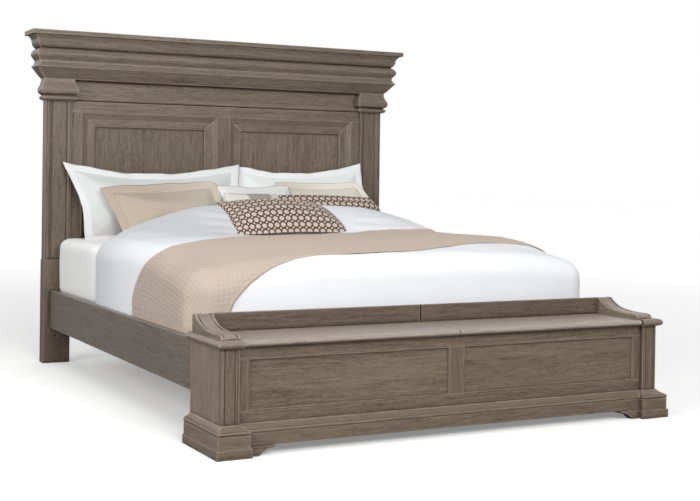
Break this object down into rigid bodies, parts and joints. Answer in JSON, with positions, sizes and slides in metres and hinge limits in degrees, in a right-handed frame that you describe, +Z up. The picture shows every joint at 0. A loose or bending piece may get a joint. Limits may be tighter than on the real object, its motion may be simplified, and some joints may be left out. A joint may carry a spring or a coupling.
{
  "type": "bed with blanket chest footboard",
  "caption": "Panel bed with a tall corniced headboard, side rails and a blanket chest footboard with a lifting two-leaf seat lid, made up with duvet, coverlet and pillows.",
  "frame": {"origin": "middle of the footprint, on the floor", "axes": "+Z up, +Y towards the head of the bed, +X to the right as seen from the foot"},
  "size_m": [2.244, 2.532, 1.762],
  "materials": {
    "headboard_wood": "satin",
    "cornice_wood": "satin",
    "panel_wood": "satin",
    "rail_wood": "satin",
    "chest_wood": "satin",
    "seat_wood": "satin",
    "inner_wood": "matte",
    "zinc_steel": "satin",
    "hinge_brass": "satin",
    "glide_plastic": "matte",
    "bumper_rubber": "matte",
    "foundation_cloth": "matte",
    "mattress_cloth": "matte",
    "duvet_cotton": "matte",
    "coverlet_cotton": "matte",
    "sham_cotton": "matte",
    "quilted_cotton": "matte",
    "printed_cloth": "matte"
  },
  "bodies": {
    "bed_frame": {"post_left": "headboard_wood", "post_right": "headboard_wood", "capitals": "cornice_wood", "astragals": "cornice_wood", "crown_top_board": "cornice_wood", "crown_cyma": "cornice_wood", "crown_torus": "cornice_wood", "crown_bed_mould": "cornice_wood", "crown_packing_board": "inner_wood", "frieze_board": "headboard_wood", "frieze_bead": "headboard_wood", "head_top_rail": "headboard_wood", "head_bottom_rail": "headboard_wood", "head_centre_stile": "headboard_wood", "head_side_stiles": "headboard_wood", "head_panel_left": "panel_wood", "head_panel_right": "panel_wood", "head_panel_mouldings": "headboard_wood", "side_rail_left": "rail_wood", "side_rail_right": "rail_wood", "rail_hook_plates": "zinc_steel", "ledger_strips": "inner_wood", "cross_slats": "inner_wood", "centre_beam": "inner_wood", "centre_legs": "inner_wood", "leg_glides": "glide_plastic", "chest_side_left": "chest_wood", "chest_side_right": "chest_wood", "chest_corner_posts": "chest_wood", "chest_top_rail": "chest_wood", "chest_bottom_rail": "chest_wood", "chest_front_stiles": "chest_wood", "chest_panel_left": "panel_wood", "chest_panel_right": "panel_wood", "chest_panel_beads": "chest_wood", "chest_back": "inner_wood", "chest_floor": "inner_wood", "chest_divider": "inner_wood", "base_rail": "chest_wood", "base_moulding_front": "chest_wood", "base_moulding_corners": "chest_wood", "plinth_blocks": "chest_wood", "plinth_shoes": "chest_wood", "ogee_brackets": "chest_wood", "end_caps": "seat_wood", "scroll_ears": "seat_wood", "rear_boards": "chest_wood", "hinge_fixed_leaves": "hinge_brass", "lid_bumpers": "bumper_rubber", "foundation": "foundation_cloth", "mattress": "mattress_cloth", "duvet": "duvet_cotton", "coverlet": "coverlet_cotton", "sham_pillows": "sham_cotton", "quilted_shams": "quilted_cotton", "small_pillows": "printed_cloth"},
    "left_lid": {"lid_left": "seat_wood", "hinge_leaves_left": "hinge_brass"},
    "right_lid": {"lid_right": "seat_wood", "hinge_leaves_right": "hinge_brass"}
  },
  "joints": [
    {"name": "left_lid_hinge", "type": "hinge", "parent": "bed_frame", "child": "left_lid", "pos_m": [-0.4626, -0.9365, 0.412], "axis": [-1, 0, 0], "range_deg": [0, 90]},
    {"name": "right_lid_hinge", "type": "hinge", "parent": "bed_frame", "child": "right_lid", "pos_m": [0.4626, -0.9365, 0.412], "axis": [-1, 0, 0], "range_deg": [0, 90]}
  ]
}
